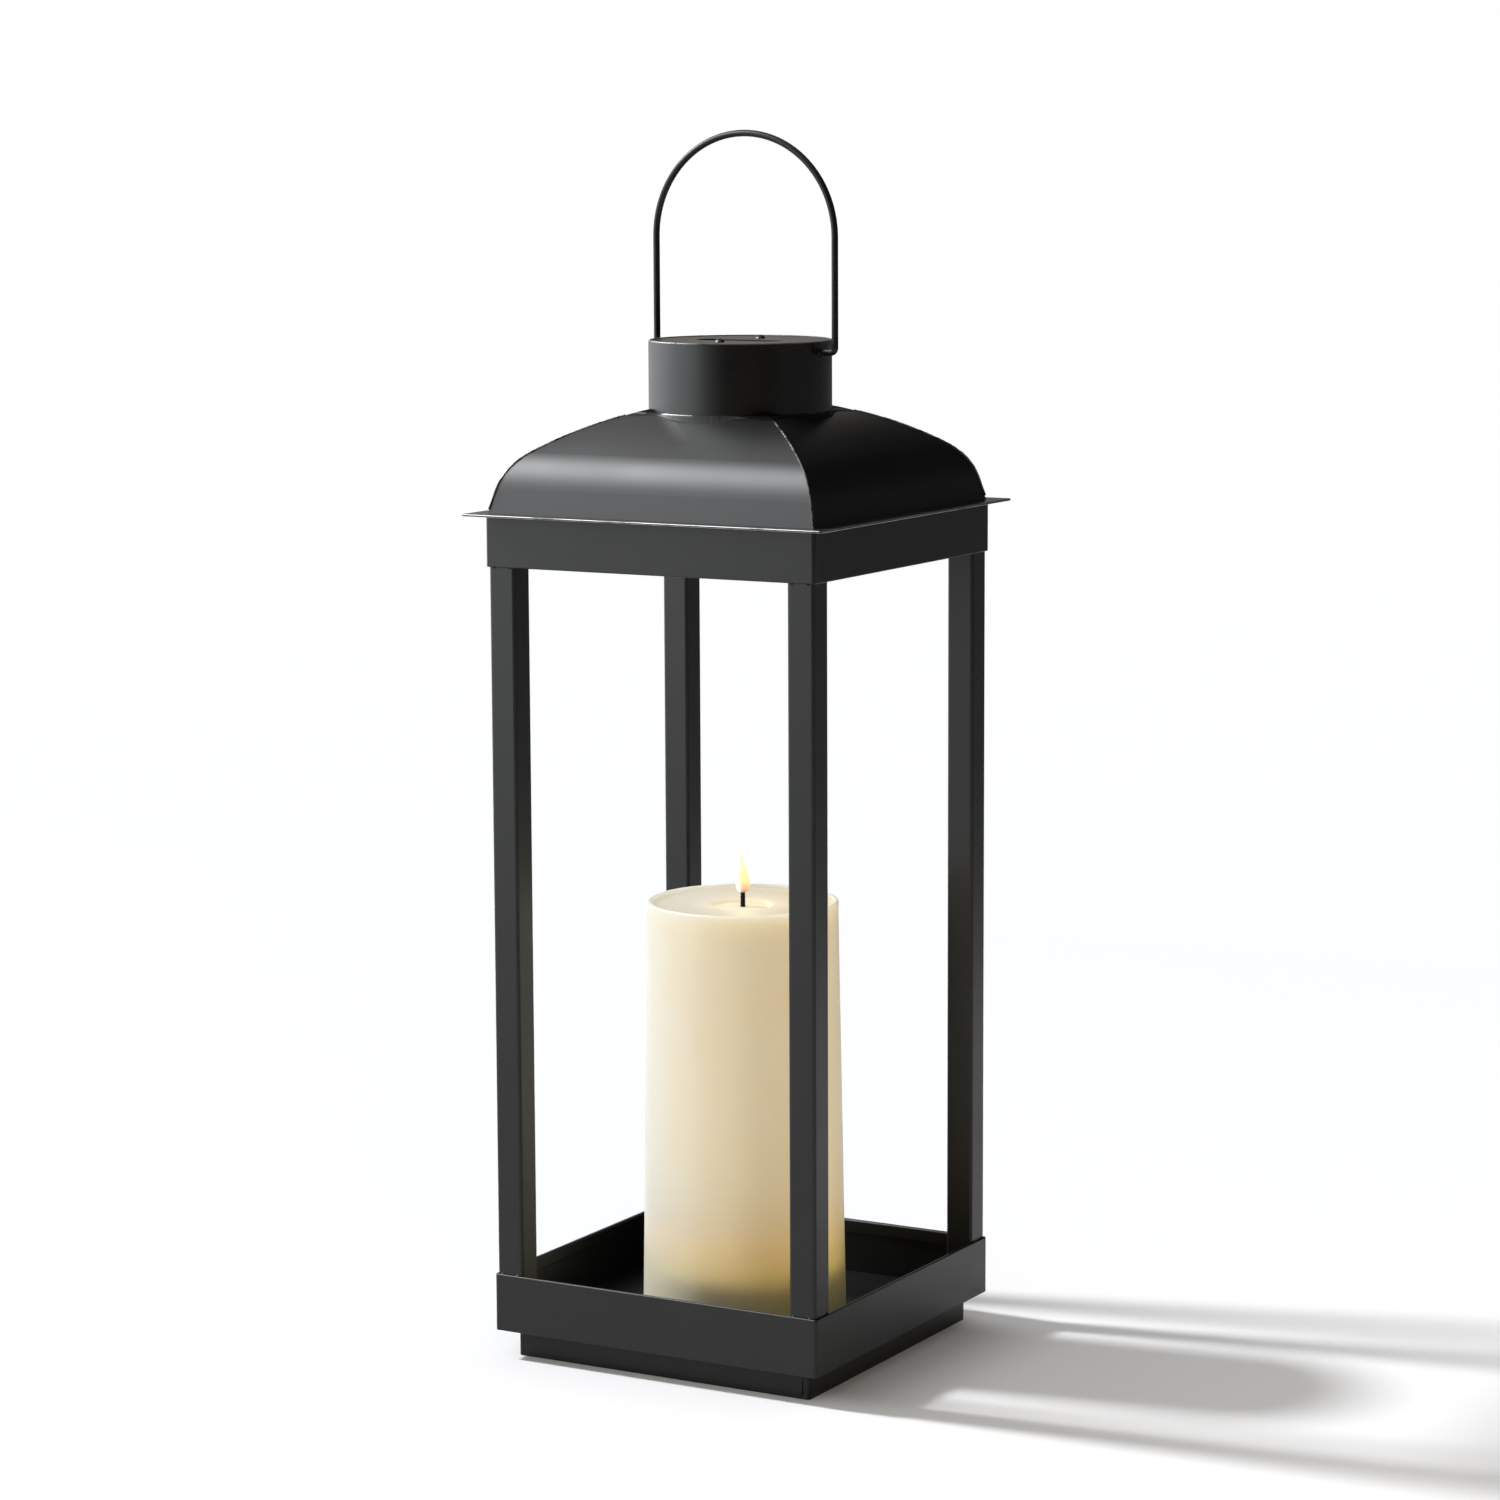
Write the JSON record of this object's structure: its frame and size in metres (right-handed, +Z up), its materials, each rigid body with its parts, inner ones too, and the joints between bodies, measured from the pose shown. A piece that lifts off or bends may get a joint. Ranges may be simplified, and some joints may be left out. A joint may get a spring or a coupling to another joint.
{
  "type": "candle lantern",
  "caption": "Square open-sided metal lantern with a curved roof, a vented round collar, a swinging wire handle and a battery pillar candle.",
  "frame": {"origin": "centre of the square footprint, on the surface that the lantern stands on", "axes": "+Z up, the front is the -Y side, and the handle turns on a line along X"},
  "size_m": [0.2076, 0.2076, 0.6312],
  "materials": {
    "black_coat": "satin black powder coat on mild steel sheet, thin and slightly textured, bare at scuffed edges",
    "wire_coat": "satin black coat on bent steel wire",
    "cap_screw": "dark plated steel pan screw",
    "zinc": "zinc-plated steel",
    "wax": "real ivory wax cast as a shell, smooth and softly translucent",
    "flame": "clear tinted flame moulding, frosted, lit from inside",
    "led": "warm white light-emitting diode, clear epoxy",
    "wick": "black moulded sleeve with the look of a burnt wick",
    "lead": "tinned copper wire",
    "cream_plastic": "moulded cream plastic, fine matt texture",
    "board": "green printed circuit board",
    "switch_black": "black moulded plastic",
    "wire_red": "red insulated wire",
    "cell_wrap": null,
    "contact": "nickel-plated spring steel"
  },
  "bodies": {
    "lantern": {"plinth": "black_coat", "tray_floor": "black_coat", "base_band": "black_coat", "post_front_left": "black_coat", "post_front_right": "black_coat", "post_back_right": "black_coat", "post_back_left": "black_coat", "upper_band": "black_coat", "eave_plate": "black_coat", "roof_front": "black_coat", "roof_right": "black_coat", "roof_back": "black_coat", "roof_left": "black_coat", "collar": "black_coat", "cap_disc": "black_coat", "cap_screws": "cap_screw", "baffle_spacers": "zinc", "vent_baffle": "black_coat", "cap_nuts": "zinc"},
    "handle": {"handle": "wire_coat"},
    "candle": {"wax_shell": "wax", "flame_lens": "flame", "flame_led": "led", "wick": "wick", "led_leads": "lead", "lamp_tower": "cream_plastic", "circuit_board": "board", "battery_housing": "cream_plastic", "base_plate": "cream_plastic", "switch_body": "switch_black", "switch_wires": "wire_red", "battery_front": "cell_wrap", "battery_back": "cell_wrap", "contact_spring_front": "contact", "contact_spring_back": "contact", "contact_bridge": "contact", "contact_plus": "contact", "contact_minus": "contact", "base_screws": "zinc"},
    "battery_cover": {"battery_cover": "cream_plastic"},
    "switch_knob": {"switch_knob": "switch_black"}
  },
  "joints": [
    {"name": "handle_swing", "type": "hinge", "parent": "lantern", "child": "handle", "pos_m": [0, 0, 0.5195], "axis": [1, 0, 0], "range_deg": [-119, 119]},
    {"name": "candle_removal", "type": "slide", "parent": "lantern", "child": "candle", "axis": [0, -0.7071, 0.7071], "range_m": [0, 0.25]},
    {"name": "battery_cover_twist", "type": "hinge", "parent": "candle", "child": "battery_cover", "pos_m": [0, 0, 0.0169], "axis": [0, 0, 1], "range_deg": [0, 35]},
    {"name": "switch_slide", "type": "slide", "parent": "candle", "child": "switch_knob", "axis": [-1, 0, 0], "range_m": [0, 0.004]}
  ]
}
